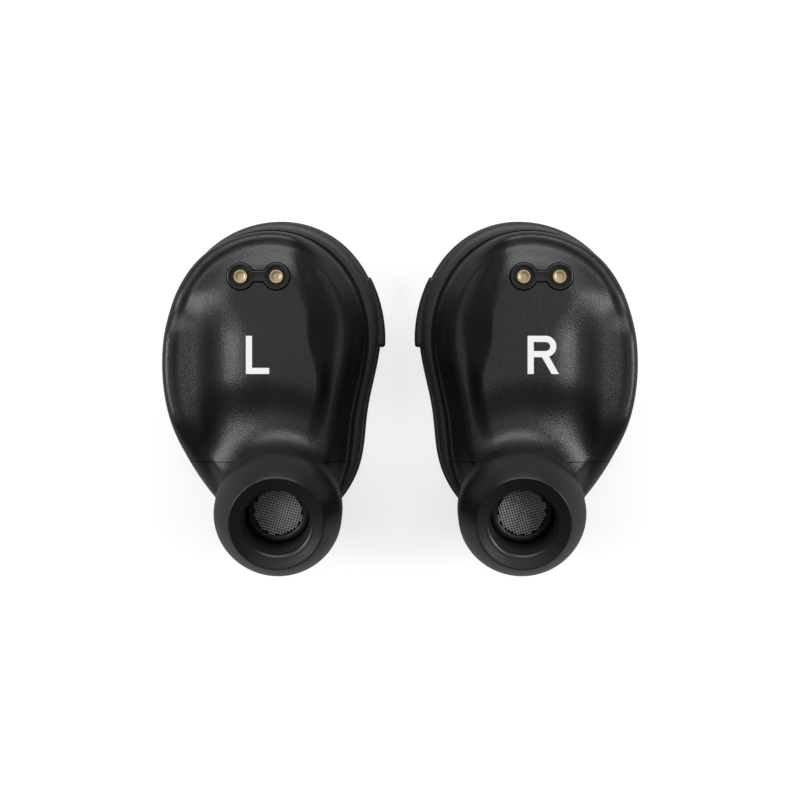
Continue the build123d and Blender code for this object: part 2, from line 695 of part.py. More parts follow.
pieces = {
    "faceplate": faceplate, "outer_cover": outer_cover, "inner_shell": inner_shell,
    "nozzle_housing": nozzle_housing, "nozzle_screen": nozzle_screen, "ear_tip": ear_tip,
    "side_button": side_button, "switch_plunger": switch_plunger, "switch_case": switch_case,
    "contact_holder": contact_holder, "charging_contacts": charging_contacts, "contact_flex": contact_flex,
    "circuit_board": circuit_board, "radio_chip": radio_chip, "antenna": antenna, "microphone": microphone,
    "status_led": status_led, "light_guide": light_guide, "battery": battery, "battery_pad": battery_pad,
    "battery_tabs": battery_tabs, "case_magnet": case_magnet, "driver_frame": driver_frame,
    "driver_yoke": driver_yoke, "driver_magnet": driver_magnet, "voice_coil": voice_coil,
    "diaphragm": diaphragm, "driver_gasket": driver_gasket,
}

os.makedirs("parts", exist_ok=True)
for name, piece in pieces.items():
    piece.part.label = "left_" + name
    export_step(piece.part, "parts/left_" + name + ".step")
    with BuildPart() as twin:
        mirror(piece.part, about=Plane.YZ)
    twin.part.label = "right_" + name
    export_step(twin.part, "parts/right_" + name + ".step")

left_letter.part.label = "left_letter"
export_step(left_letter.part, "parts/left_letter.step")
right_letter.part.label = "right_letter"
export_step(right_letter.part, "parts/right_letter.step")
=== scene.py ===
import bpy
import bmesh
import json
import math
import numpy as np
from mathutils import Matrix, Vector, kdtree

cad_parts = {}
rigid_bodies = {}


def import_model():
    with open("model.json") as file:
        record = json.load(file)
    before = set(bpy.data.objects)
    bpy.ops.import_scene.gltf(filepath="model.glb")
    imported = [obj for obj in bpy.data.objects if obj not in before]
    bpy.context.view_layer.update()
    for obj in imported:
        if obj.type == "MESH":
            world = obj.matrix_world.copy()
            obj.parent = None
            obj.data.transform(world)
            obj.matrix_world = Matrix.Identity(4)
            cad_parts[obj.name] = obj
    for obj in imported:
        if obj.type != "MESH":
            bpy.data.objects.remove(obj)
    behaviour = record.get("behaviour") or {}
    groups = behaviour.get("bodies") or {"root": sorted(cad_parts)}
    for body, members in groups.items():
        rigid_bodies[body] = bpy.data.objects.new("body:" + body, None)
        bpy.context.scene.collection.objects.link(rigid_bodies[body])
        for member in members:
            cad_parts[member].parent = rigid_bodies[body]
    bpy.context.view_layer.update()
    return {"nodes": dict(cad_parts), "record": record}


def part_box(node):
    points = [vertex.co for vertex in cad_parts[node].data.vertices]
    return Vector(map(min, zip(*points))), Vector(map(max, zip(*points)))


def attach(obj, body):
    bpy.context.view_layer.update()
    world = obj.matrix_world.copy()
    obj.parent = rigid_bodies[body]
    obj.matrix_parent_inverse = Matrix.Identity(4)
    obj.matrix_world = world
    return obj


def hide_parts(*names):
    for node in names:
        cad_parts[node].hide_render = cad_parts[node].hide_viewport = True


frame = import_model()
print("frame loaded:", len(frame["nodes"]), "nodes")

mm = 0.001
sides = {"left": 1, "right": -1}      # the pieces are drawn for the left bud, the right one is mirrored
noMaterial = -1


# Places taken from the frame, in millimetres
def boxOf(node):
    low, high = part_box(node)
    return Vector(low) / mm, Vector(high) / mm


plateHigh = boxOf("left_faceplate")[1]
coverHigh = boxOf("left_outer_cover")[1]
letterLow = boxOf("left_letter")[0]
contactLow, contactHigh = boxOf("left_charging_contacts")
holderLow, holderHigh = boxOf("left_contact_holder")

outline = {
    "shares": [(0.047, 0.5), (0.319, 0.426), (0.5, 0.153), (0.4345, -0.116), (0.389, -0.305),
               (0.057, -0.5), (-0.296, -0.332), (-0.462, -0.12), (-0.5, 0.093), (-0.316, 0.409)],
    "plateGrow": 0.25, "plateShift": (0.8, 0.75),
    "coverGrow": 0.1, "coverShift": (0.7, 0.65),
    "around": 288,            # points round the outline
    "fine": 200,              # points to each span of the spline
}
eggSize = Vector((19.85, 29.7))
eggCentre = Vector((-12.825, 1.2))
seamZ = coverHigh.z
plateZ = plateHigh.z
plateauZ = letterLow.z


# A smooth closed line through points: a periodic cubic spline, read at even steps of its length
def closedSpline(points, count):
    p = np.array(points, float)
    n = len(p)
    h = np.linalg.norm(np.roll(p, -1, 0) - p, axis=1)
    system = np.zeros((n, n))
    right = np.zeros((n, 2))
    for i in range(n):
        before, after = h[i - 1], h[i]
        system[i, i - 1] = before
        system[i, i] = 2 * (before + after)
        system[i, (i + 1) % n] = after
        right[i] = 6 * ((p[(i + 1) % n] - p[i]) / after - (p[i] - p[i - 1]) / before)
    m = np.linalg.solve(system, right)
    fine = []
    for i in range(n):
        a, b, ma, mb = p[i], p[(i + 1) % n], m[i], m[(i + 1) % n]
        for t in np.linspace(0, h[i], outline["fine"], endpoint=False):
            u = h[i] - t
            fine.append((ma * u ** 3 + mb * t ** 3) / (6 * h[i]) + (a / h[i] - ma * h[i] / 6) * u
                        + (b / h[i] - mb * h[i] / 6) * t)
    fine = np.array(fine + [fine[0]])
    along = np.concatenate([[0], np.cumsum(np.linalg.norm(np.diff(fine, axis=0), axis=1))])
    want = np.linspace(0, along[-1], count, endpoint=False)
    return np.stack([np.interp(want, along, fine[:, k]) for k in (0, 1)], axis=1), along[-1]


def scaledEgg(grow=0.0, shift=(0.0, 0.0), count=None):
    width = eggSize.x + 2 * grow
    length = eggSize.y + 2 * grow
    middle = (eggCentre.x + shift[0], eggCentre.y + shift[1])
    points = [(middle[0] + u * width, middle[1] + v * length) for u, v in outline["shares"]]
    return closedSpline(points, count or outline["around"])[0]


def outwardNormals(line):
    run = np.roll(line, -1, 0) - np.roll(line, 1, 0)
    run /= np.linalg.norm(run, axis=1)[:, None]
    return np.stack([-run[:, 1], run[:, 0]], axis=1)


seamLine = scaledEgg()
seamOut = outwardNormals(seamLine)
footLine = scaledEgg(outline["coverGrow"], outline["coverShift"])
footOut = outwardNormals(footLine)
plateLine = scaledEgg(outline["plateGrow"], outline["plateShift"])
plateOut = outwardNormals(plateLine)


# Helpers for meshes
def smoothStep(t):
    t = min(max(t, 0.0), 1.0)
    return t * t * t * (t * (6 * t - 15) + 10)


# 0 before a start, 1 past it by a length; a length below zero runs the other way
def fade(value, start, length):
    return smoothStep((value - start) / length)


# The larger of two values, rounded over where they cross
def softMax(a, b, k):
    h = max(k - abs(a - b), 0.0) / k
    return max(a, b) + h * h * k / 4


# Rings of points joined by extruding each ring from the last; returns the bmesh and its rings
def skinRings(rings, closeStart=False, closeEnd=False, joinEnds=False):
    bm = bmesh.new()
    count = len(rings[0])
    first = bmesh.ops.create_circle(bm, segments=count, radius=1, cap_ends=False)["verts"]
    first = sorted(first, key=lambda v: math.atan2(v.co.y, v.co.x) % (2 * math.pi))
    for v, co in zip(first, rings[0]):
        v.co = co
    made = [first]
    for ring in rings[1:]:
        last = made[-1]
        edges = [bm.edges.get((last[i], last[(i + 1) % count])) for i in range(count)]
        out = bmesh.ops.extrude_edge_only(bm, edges=edges)["geom"]
        fresh = {e for e in out if isinstance(e, bmesh.types.BMVert)}
        nextRing = []
        for v in last:
            nextRing.append(next(e.other_vert(v) for e in v.link_edges if e.other_vert(v) in fresh))
        for v, co in zip(nextRing, ring):
            v.co = co
        made.append(nextRing)
    if joinEnds:
        ends = (made[0], made[-1])
        edges = [bm.edges.get((r[i], r[(i + 1) % count])) for r in ends for i in range(count)]
        bmesh.ops.bridge_loops(bm, edges=edges)
    for close, ring in ((closeStart, made[0]), (closeEnd, made[-1])):
        if close:
            cap = bmesh.ops.contextual_create(bm, geom=ring)["faces"]
            bmesh.ops.poke(bm, faces=cap)
    bmesh.ops.recalc_face_normals(bm, faces=bm.faces)
    return bm, made


# A profile of (radius, place along the axis) turned about an axis through a point
def turnProfile(profile, origin, axis, steps=160, closed=True):
    bm = bmesh.new()
    axis = Vector(axis).normalized()
    across = Vector((1, 0, 0))
    across = (across - axis * across.dot(axis)).normalized()
    verts = [bm.verts.new(Vector(origin) + across * r + axis * s) for r, s in profile]
    pairs = list(zip(verts, verts[1:])) + ([(verts[-1], verts[0])] if closed else [])
    edges = [bm.edges.new(p) for p in pairs]
    bmesh.ops.spin(bm, geom=verts + edges, cent=origin, axis=axis, angle=2 * math.pi, steps=steps,
                   use_merge=True)
    bmesh.ops.remove_doubles(bm, verts=bm.verts, dist=1e-5)
    bmesh.ops.recalc_face_normals(bm, faces=bm.faces)
    return bm


def meshObject(name, bm, side):
    if sides[side] < 0:
        bmesh.ops.scale(bm, vec=(-1, 1, 1), verts=bm.verts)
        bmesh.ops.reverse_faces(bm, faces=bm.faces)
    bmesh.ops.scale(bm, vec=(mm, mm, mm), verts=bm.verts)
    mesh = bpy.data.meshes.new(name)
    bm.to_mesh(mesh)
    bm.free()
    for face in mesh.polygons:
        face.use_smooth = True
    thing = bpy.data.objects.new(name, mesh)
    bpy.context.scene.collection.objects.link(thing)
    return thing


# The mesh that the object's modifiers make takes the place of its own
def settle(thing):
    bpy.context.view_layer.update()
    graph = bpy.context.evaluated_depsgraph_get()
    mesh = bpy.data.meshes.new_from_object(thing.evaluated_get(graph))
    thing.modifiers.clear()
    thing.data = mesh
    return thing


def cutWith(thing, cutter):
    cut = thing.modifiers.new("cut", "BOOLEAN")
    cut.operation = "DIFFERENCE"
    cut.solver = "MANIFOLD"
    cut.object = cutter
    settle(thing)
    bpy.data.objects.remove(cutter)
    return thing


def sharpenByAngle(thing, degrees=32):
    bm = bmesh.new()
    bm.from_mesh(thing.data)
    for edge in bm.edges:
        edge.smooth = len(edge.link_faces) != 2 or edge.calc_face_angle(0) < math.radians(degrees)
    bm.to_mesh(thing.data)
    bm.free()
    return thing


def finishPiece(thing, side, body, slotName, material, *nodes):
    thing.data.materials.clear()
    thing.data.materials.append(material)
    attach(thing, side + "_" + body)
    if nodes:
        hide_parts(*[side + "_" + n for n in nodes])
    return thing


# Materials
def newMaterial(name):
    material = bpy.data.materials.new(name)
    material.use_nodes = True
    tree = material.node_tree
    return material, tree, tree.nodes["Principled BSDF"]


def addNode(tree, kind, values=None, **settings):
    node = tree.nodes.new(kind)
    for key, value in settings.items():
        setattr(node, key, value)
    for key, value in (values or {}).items():
        node.inputs[key].default_value = value
    return node


# Moulded plastic or rubber: a fine grain in the bump, a slow drift in colour and roughness
def moulded(name, colour, roughness, grain, depth, drift=0.15, coat=0.0):
    material, tree, shader = newMaterial(name)
    link = tree.links.new
    where = addNode(tree, "ShaderNodeTexCoord")
    fine = addNode(tree, "ShaderNodeTexNoise", {"Scale": grain, "Detail": 3.0, "Roughness": 0.6})
    slow = addNode(tree, "ShaderNodeTexNoise", {"Scale": 260.0, "Detail": 4.0, "Roughness": 0.55})
    tone = addNode(tree, "ShaderNodeMix", data_type="RGBA")
    tone.inputs[6].default_value = (*[c * (1 - drift) for c in colour], 1)
    tone.inputs[7].default_value = (*[c * (1 + drift) for c in colour], 1)
    rough = addNode(tree, "ShaderNodeMapRange", {"To Min": roughness - 0.05, "To Max": roughness + 0.07})
    bump = addNode(tree, "ShaderNodeBump", {"Strength": 0.5, "Distance": depth})
    for noise in (fine, slow):
        link(where.outputs["Object"], noise.inputs["Vector"])
    link(slow.outputs["Fac"], tone.inputs[0])
    link(tone.outputs[2], shader.inputs["Base Color"])
    link(slow.outputs["Fac"], rough.inputs["Value"])
    link(rough.outputs["Result"], shader.inputs["Roughness"])
    link(fine.outputs["Fac"], bump.inputs["Height"])
    link(bump.outputs["Normal"], shader.inputs["Normal"])
    shader.inputs["Coat Weight"].default_value = coat
    shader.inputs["Coat Roughness"].default_value = 0.25
    return material


# Plated or stamped metal with fine wear in its roughness
def metal(name, colour, roughness, scale=900.0, depth=0.000004):
    material, tree, shader = newMaterial(name)
    link = tree.links.new
    where = addNode(tree, "ShaderNodeTexCoord")
    noise = addNode(tree, "ShaderNodeTexNoise", {"Scale": scale, "Detail": 5.0, "Roughness": 0.6})
    tone = addNode(tree, "ShaderNodeMix", data_type="RGBA")
    tone.inputs[6].default_value = (*[c * 0.82 for c in colour], 1)
    tone.inputs[7].default_value = (*colour, 1)
    rough = addNode(tree, "ShaderNodeMapRange", {"To Min": roughness - 0.08, "To Max": roughness + 0.12})
    bump = addNode(tree, "ShaderNodeBump", {"Strength": 0.4, "Distance": depth})
    link(where.outputs["Object"], noise.inputs["Vector"])
    link(noise.outputs["Fac"], tone.inputs[0])
    link(tone.outputs[2], shader.inputs["Base Color"])
    link(noise.outputs["Fac"], rough.inputs["Value"])
    link(rough.outputs["Result"], shader.inputs["Roughness"])
    link(noise.outputs["Fac"], bump.inputs["Height"])
    link(bump.outputs["Normal"], shader.inputs["Normal"])
    shader.inputs["Metallic"].default_value = 1.0
    return material


# Clear moulded pin
def clearPlastic(name):
    material, tree, shader = newMaterial(name)
    link = tree.links.new
    where = addNode(tree, "ShaderNodeTexCoord")
    noise = addNode(tree, "ShaderNodeTexNoise", {"Scale": 700.0, "Detail": 2.0})
    rough = addNode(tree, "ShaderNodeMapRange", {"To Min": 0.12, "To Max": 0.28})
    link(where.outputs["Object"], noise.inputs["Vector"])
    link(noise.outputs["Fac"], rough.inputs["Value"])
    link(rough.outputs["Result"], shader.inputs["Roughness"])
    shader.inputs["Base Color"].default_value = (0.86, 0.9, 0.92, 1)
    shader.inputs["Transmission Weight"].default_value = 0.8
    shader.inputs["IOR"].default_value = 1.49
    return material


finishes = {
    "shellBlack": moulded("shellBlack", (0.010, 0.010, 0.0104), 0.31, 6000.0, 0.00007),
    "coverBlack": moulded("coverBlack", (0.030, 0.030, 0.0305), 0.42, 6000.0, 0.00007),
    "plateBlack": moulded("plateBlack", (0.034, 0.034, 0.0345), 0.42, 6000.0, 0.00006),
    "buttonBlack": moulded("buttonBlack", (0.016, 0.016, 0.017), 0.40, 9000.0, 0.000015),
    "tipSilicone": moulded("tipSilicone", (0.008, 0.008, 0.0083), 0.36, 5200.0, 0.00002, 0.1),
    "holderBlack": moulded("holderBlack", (0.006, 0.006, 0.0065), 0.30, 5000.0, 0.000006),
    "screenWire": metal("screenWire", (0.90, 0.90, 0.90), 0.48),
    "screenCloth": moulded("screenCloth", (0.006, 0.006, 0.006), 0.8, 9000.0, 0.00001),
    "contactGold": metal("contactGold", (0.60, 0.48, 0.30), 0.33),
    "letterWhite": moulded("letterWhite", (0.93, 0.93, 0.93), 0.55, 5200.0, 0.00002, 0.06),
    "switchWhite": moulded("switchWhite", (0.78, 0.78, 0.76), 0.45, 3000.0, 0.00001),
    "flexAmber": moulded("flexAmber", (0.45, 0.17, 0.03), 0.28, 1500.0, 0.000005, coat=0.3),
    "boardGreen": moulded("boardGreen", (0.012, 0.13, 0.05), 0.32, 1800.0, 0.00001, coat=0.3),
    "chipBlack": moulded("chipBlack", (0.025, 0.025, 0.027), 0.55, 4000.0, 0.00001),
    "antennaCeramic": moulded("antennaCeramic", (0.80, 0.78, 0.70), 0.40, 3500.0, 0.00001),
    "ledWhite": moulded("ledWhite", (0.82, 0.82, 0.74), 0.30, 3000.0, 0.000005),
    "foamGrey": moulded("foamGrey", (0.12, 0.12, 0.13), 0.90, 2600.0, 0.00006),
    "driverPlastic": moulded("driverPlastic", (0.03, 0.03, 0.03), 0.45, 4000.0, 0.00001),
    "diaphragmFilm": moulded("diaphragmFilm", (0.50, 0.47, 0.40), 0.22, 1200.0, 0.00001, coat=0.4),
    "gasketBlack": moulded("gasketBlack", (0.02, 0.02, 0.02), 0.85, 3000.0, 0.00003),
    "steel": metal("steel", (0.60, 0.60, 0.61), 0.30),
    "cellSteel": metal("cellSteel", (0.66, 0.66, 0.66), 0.24, 500.0),
    "tabNickel": metal("tabNickel", (0.68, 0.66, 0.61), 0.33),
    "magnetNickel": metal("magnetNickel", (0.70, 0.70, 0.71), 0.18),
    "coilCopper": metal("coilCopper", (0.72, 0.34, 0.16), 0.30, 2500.0),
    "guideClear": clearPlastic("guideClear"),
}
print("materials:", len(finishes))

# CAD nodes that stay as they are get their finish here
carriedOver = {
    "switch_plunger": "switchWhite", "switch_case": "steel", "contact_flex": "flexAmber",
    "circuit_board": "boardGreen", "radio_chip": "chipBlack", "antenna": "antennaCeramic",
    "microphone": "steel", "status_led": "ledWhite", "light_guide": "guideClear", "battery": "cellSteel",
    "battery_pad": "foamGrey", "battery_tabs": "tabNickel", "case_magnet": "magnetNickel",
    "driver_frame": "driverPlastic", "driver_yoke": "steel", "driver_magnet": "magnetNickel",
    "voice_coil": "coilCopper", "diaphragm": "diaphragmFilm", "driver_gasket": "gasketBlack",
    "contact_holder": "holderBlack",
}
for side in sides:
    for node, finish in carriedOver.items():
        thing = frame["nodes"][side + "_" + node]
        for k in range(len(thing.material_slots)):
            thing.material_slots[k].material = finishes[finish]

# The ear side: inner shell and nozzle housing
earSide = {
    "rimRound": 1.1,          # radius of the rim's round-over
    "lean": 0.2,              # how far the wall leans in between the parting line and the rim
    "rimZ": 7.72,             # the rim is low along the inner side,
    "rimOuterZ": 10.85,       # high along the outer side
    "topShare": 0.7,          # and nearly as high round the top
    "groove": 0.12,           # shallow valley inside the rim
    "footEdge": [(-21.35, 3.9), (-20.6, 8.6), (-18.15, 12.35), (-15.2, 14.2), (-11.9, 14.75), (-9.1, 14.1),
                 (-7.0, 12.5), (-5.5, 10.1), (-4.8, 7.6), (-5.0, 5.6), (-5.6, 3.6), (-6.05, 1.2),
                 (-6.2, -1.5), (-6.5, -5.5), (-7.3, -9.5), (-11.5, -12.4), (-16.3, -9.6), (-18.9, -6.0),
                 (-20.5, -2.2)],
    "outerFades": ((-15.2, -4.2), (12.6, -8.0), (-9.5, 8.5)),     # across, down from the top, up from the end
    "topFades": ((-5.9, -5.2), (5.5, 5.0)),
    "grooveFade": (0.85, 0.9),
    # How far the slope reaches in from the foot's edge on each side, and where each side begins
    "reachOuter": 4.6, "reachInner": 1.15, "reachTop": 2.25, "reachCorner": 3.0, "reachEnd": 1.6,
    "innerFade": (-13.5, 4.5), "topFade": (4.5, 6.5), "cornerFades": ((-11.0, 3.5), (0.5, 7.5)),
    "endFade": (1.5, -6.0),
    "cove": 1.2, "coveOver": 1.1, "shoulder": 0.9, "footBlend": 0.12,
    # The plateau sinks towards the nozzle; the edge of the dip curls round at its ends
    "saddleFrom": 2.6, "saddleLength": 6.4, "saddleDrop": 1.15, "saddleCurl": 0.035, "saddleMid": -13.0,
    # The boss that carries the nozzle
    "bossR": 4.5, "bossTop": -0.62, "bossSpread": 1.35, "bossDrop": 2.6, "bossShift": 0.15, "bossSlope": 0.3,
    "bossFade": 2.4, "bossBlend": 0.9,
    "pole": (-12.9, 2.4),
    "wall": 0.9,
    "margin": 0.05,           # how far the shell stands in from the cover's edge all round,
    "seamGap": 0.17,          # and how much more on the inner side
    "gapSide": (0.73, 0.68), "gapFade": (-0.15, 0.75),
    "skirt": 0.45,            # how far the shell reaches down past the parting line
    "wallFoot": 0.25, "rimSteps": 14, "innerRings": 84, "treeCount": 3000, "footCount": 2600,
}
pull = next(j for j in frame["record"]["behaviour"]["joints"] if j["name"] == "left_ear_tip_pull")
tipAxis = Vector(pull["axis"]).normalized()
tipFoot = Vector((-11.35, -10.3, 12.0))     # the middle of the ear tip's rear rim


def treeOf(line):
    tree = kdtree.KDTree(len(line))
    for i, p in enumerate(line):
        tree.insert((p[0], p[1], 0), i)
    tree.balance()
    return tree


rimTree = treeOf(scaledEgg(count=earSide["treeCount"]))
footEdge = closedSpline(earSide["footEdge"], earSide["footCount"])[0]
footTree, footEdgeOut = treeOf(footEdge), outwardNormals(footEdge)


# How far a point lies inside a closed line; less than zero outside it
def depthInside(x, y, tree, line, normals):
    _, i, gap = tree.find((x, y, 0))
    out = (x - line[i][0]) * normals[i][0] + (y - line[i][1]) * normals[i][1]
    return gap if out < 0 else -gap


# 1 along the outer side of the bud, where the rim is high, a little less round the top, 0 on the inner side
def rimLift(x, y):
    e = earSide
    across, down, up = e["outerFades"]
    outer = fade(x, *across) * fade(y, *down) * fade(y, *up)
    top = fade(x, *e["topFades"][0]) * fade(y, *e["topFades"][1])
    return 1 - (1 - outer) * (1 - e["topShare"] * top)


# How far the slope up to the plateau reaches at a place
def slopeReach(x, y):
    e = earSide
    inner = fade(x, *e["innerFade"])
    corner = fade(x, *e["cornerFades"][0]) * fade(y, *e["cornerFades"][1])
    reach = e["reachOuter"] + (e["reachInner"] - e["reachOuter"]) * inner
    reach += (e["reachTop"] - reach) * fade(y, *e["topFade"])
    reach += (e["reachCorner"] - reach) * corner
    reach += (e["reachEnd"] - reach) * fade(y, *e["endFade"]) * inner
    return reach


# Height of the boss that carries the nozzle
def bossHeight(x, y):
    e = earSide
    away = Vector((x - tipFoot.x, (y - (tipFoot.y + e["bossShift"])) * tipAxis.z)).length
    past = max(away - e["bossR"], 0)
    drop = e["bossDrop"] * (1 - math.exp(-past / e["bossSpread"])) + e["bossSlope"] * past
    return tipFoot.z + (e["bossTop"] - drop) * tipAxis.z - (y - tipFoot.y) * tipAxis.y / tipAxis.z


def earHeight(x, y, inset=None):
    e = earSide
    d = inset if inset is not None else rimTree.find((x, y, 0))[2] - e["lean"]
    rim = e["rimZ"] + (e["rimOuterZ"] - e["rimZ"]) * rimLift(x, y)
    t = 1 - min(d / e["rimRound"], 1)
    base = rim - e["rimRound"] * (1 - math.sqrt(max(0.0, 1 - t * t)))
    base -= e["groove"] * fade(d, *e["grooveFade"])
    t = max(depthInside(x, y, footTree, footEdge, footEdgeOut) / slopeReach(x, y), 0.0)
    bend = y + e["saddleCurl"] * (x - e["saddleMid"]) ** 2
    top = plateauZ - e["saddleDrop"] * fade(bend, e["saddleFrom"], -e["saddleLength"])
    rise = -softMax(-e["coveOver"] * t ** e["cove"], -1.0, e["shoulder"])
    hill = softMax(base, base + (top - base) * rise, e["footBlend"])
    boss = base + (bossHeight(x, y) - base) * smoothStep(d / e["bossFade"])
    return softMax(hill, boss, e["bossBlend"])


# Rings from below the parting line up the wall, over the rim and in to a pole on the plateau
def earSideRings():
    e = earSide
    ax, ay = e["gapSide"]
    gaps = [e["margin"] + e["seamGap"] * fade(n[0] * ax + n[1] * ay, *e["gapFade"]) for n in seamOut]
    rings = []
    for z in (seamZ - e["skirt"], seamZ, seamZ + e["wallFoot"]):
        rings.append([(p[0] - n[0] * g, p[1] - n[1] * g, z) for p, n, g in zip(seamLine, seamOut, gaps)])
    for k in range(e["rimSteps"] + 1):
        d = e["rimRound"] * (1 - math.cos(0.5 * math.pi * k / e["rimSteps"]))
        ring = []
        for p, n, g in zip(seamLine, seamOut, gaps):
            inset = g + e["lean"] + d * (e["rimRound"] - g) / e["rimRound"]
            x = p[0] - n[0] * inset
            y = p[1] - n[1] * inset
            ring.append((x, y, earHeight(x, y, d)))
        rings.append(ring)
    last = rings[-1]
    for k in range(1, e["innerRings"]):
        t = k / e["innerRings"]
        ring = []
        for x0, y0, _ in last:
            x = x0 + (e["pole"][0] - x0) * t
            y = y0 + (e["pole"][1] - y0) * t
            ring.append((x, y, earHeight(x, y)))
        rings.append(ring)
    return rings


earRings = earSideRings()
print("ear side surface worked out")

partingY = boxOf("left_inner_shell")[0].y
contactMid = (contactLow + contactHigh) / 2
contactGap = contactHigh.x - contactLow.x - (contactHigh.y - contactLow.y)     # pitch of the two contacts
window = {"lobeR": 1.37, "bridge": 1.19, "over": 1}
# Where the faces of each half give way to the nozzle, and the hairline between the halves
opening = {"shellR": 2.9, "housingR": 2.45, "above": 9, "hairline": 0.07}


# The two solids of a dumbbell, for cutting the contacts' window
def dumbbellSolids(side):
    low = holderLow.z
    high = plateauZ + window["over"]
    middle = (contactMid.x, contactMid.y, (low + high) / 2)
    lobes = bmesh.new()
    for k in (-1, 1):
        spot = Matrix.Translation((middle[0] + k * contactGap / 2, middle[1], middle[2]))
        bmesh.ops.create_cone(lobes, cap_ends=True, segments=72, radius1=window["lobeR"],
                              radius2=window["lobeR"], depth=high - low, matrix=spot)
    bar = bmesh.new()
    size = Matrix.Diagonal((contactGap, window["bridge"], high - low, 1))
    bmesh.ops.create_cube(bar, size=1, matrix=Matrix.Translation(middle) @ size)
    return meshObject("cutter", lobes, side), meshObject("cutterBar", bar, side)


# One half of the ear side, cut at the parting and opened for the nozzle, given its wall
def earSideHalf(name, side, isShell):
    bm, _ = skinRings(earRings, closeEnd=True)
    if min(f.normal.z for f in bm.faces if abs(f.normal.z) > 0.9) < 0:
        bmesh.ops.reverse_faces(bm, faces=bm.faces)
    line = partingY if isShell else partingY - opening["hairline"]
    bmesh.ops.bisect_plane(bm, geom=bm.verts[:] + bm.edges[:] + bm.faces[:], plane_co=(0, line, 0),
                           plane_no=(0, 1, 0), clear_inner=isShell, clear_outer=not isShell, dist=1e-5)
    radius = opening["shellR"] if isShell else opening["housingR"]
    inside = []
    for face in bm.faces:
        middle = face.calc_center_median()
        if (middle - tipFoot).cross(tipAxis).length < radius and middle.z > opening["above"]:
            inside.append(face)
    bmesh.ops.delete(bm, geom=inside, context="FACES")
    thing = meshObject(name, bm, side)
    wall = thing.modifiers.new("wall", "SOLIDIFY")
    wall.thickness = earSide["wall"] * mm
    wall.offset = -1
    return settle(thing)


# Nozzle tube
nozzle = {"boreR": 2.3, "neckR": 2.7, "lipR": 3.0, "end": 2.2, "lipLength": 0.9, "root": -2.0,
          "lipRound": 0.3, "lipStep": 0.05, "lipBevel": 0.12, "boreEdge": 0.08}


def nozzleTube(name, side):
    n = nozzle
    lipFoot = n["end"] - n["lipLength"]
    r = n["lipRound"]
    profile = [(n["boreR"], n["root"]), (n["neckR"], n["root"]), (n["neckR"], lipFoot - r),
               (n["lipR"] - n["lipStep"], lipFoot), (n["lipR"], lipFoot + n["lipBevel"])]
    for k in range(7):
        a = 0.5 * math.pi * k / 6
        profile.append((n["lipR"] - r + r * math.cos(a), n["end"] - r + r * math.sin(a)))
    profile += [(n["boreR"] + n["boreEdge"], n["end"]), (n["boreR"], n["end"] - n["boreEdge"])]
    return meshObject(name, turnProfile(profile, tipFoot, tipAxis, 144), side)


def joinInto(base, extra):
    bm = bmesh.new()
    bm.from_mesh(base.data)
    bm.from_mesh(extra.data)
    bm.to_mesh(base.data)
    bm.free()
    bpy.data.objects.remove(extra)
    return base


for side in sides:
    shell = earSideHalf(side + "InnerShell", side, True)
    for cutter in dumbbellSolids(side):
        cutWith(shell, cutter)
    sharpenByAngle(shell, 50)
    finishPiece(shell, side, "bud", "shell_black", finishes["shellBlack"], "inner_shell")
    housing = earSideHalf(side + "NozzleHousing", side, False)
    joinInto(housing, nozzleTube(side + "NozzleTube", side))
    sharpenByAngle(housing, 50)
    finishPiece(housing, side, "bud", "shell_black", finishes["shellBlack"], "nozzle_housing")
print("ear side shells made")

# Button shape, shared by the button and its slot
button = {"length": 6.3, "out": 1.48, "inner": -1.0, "round": 0.28, "low": 2.25, "high": 4.65, "gap": 0.15,
          "retainer": 0.5, "retainerThickness": 0.4, "retainerGap": 0.02,
          "slotFrom": -1.9, "slotTo": 2.6, "slotRound": 0.3, "fine": 2000}
eggPoints = [(eggCentre.x + u * eggSize.x, eggCentre.y + v * eggSize.y) for u, v in outline["shares"]]
fineLine, fineLength = closedSpline(eggPoints, button["fine"])
fineOut = outwardNormals(fineLine)


# A point at a distance along the outline from the button's middle, and out from it
def besideWall(along, out):
    middle = button["middle"]
    i = middle + along / fineLength * len(fineLine)
    k = int(math.floor(i)) % len(fineLine)
    t = i - math.floor(i)
    j = (k + 1) % len(fineLine)
    p = fineLine[k] * (1 - t) + fineLine[j] * t
    n = fineOut[k] * (1 - t) + fineOut[j] * t
    return Vector((p[0] + n[0] * out, p[1] + n[1] * out))


# The middle of the button is where the outline faces straight against the way it is pressed
pressJoint = next(j for j in frame["record"]["behaviour"]["joints"] if j["name"] == "left_button_press")
pressAxis = pressJoint["axis"]
button["middle"] = int(np.argmax(fineOut @ -np.array(pressAxis[:2])))


def bentBlock(length, inner, outer, low, high, rounded, segments=4, cuts=28):
    bm = bmesh.new()
    spot = Matrix.Translation((0, (inner + outer) / 2, (low + high) / 2))
    bmesh.ops.create_cube(bm, size=1, matrix=spot @ Matrix.Diagonal((length, outer - inner, high - low, 1)))
    if rounded:
        edges = [e for e in bm.edges if (e.verts[0].co.y + e.verts[1].co.y) / 2 > (inner + outer) / 2
                 or abs(e.verts[0].co.y - e.verts[1].co.y) > 0.1]
        bmesh.ops.bevel(bm, geom=edges, offset=rounded, offset_type="OFFSET", segments=segments, profile=0.5,
                        affect="EDGES", material=noMaterial)
    for k in range(1, cuts):
        place = (-length / 2 + length * k / cuts, 0, 0)
        bmesh.ops.bisect_plane(bm, geom=bm.verts[:] + bm.edges[:] + bm.faces[:], plane_co=place,
                               plane_no=(1, 0, 0), dist=1e-5)
    for v in bm.verts:
        p = besideWall(v.co.x, v.co.y)
        v.co = (p.x, p.y, v.co.z)
    bmesh.ops.recalc_face_normals(bm, faces=bm.faces)
    return bm


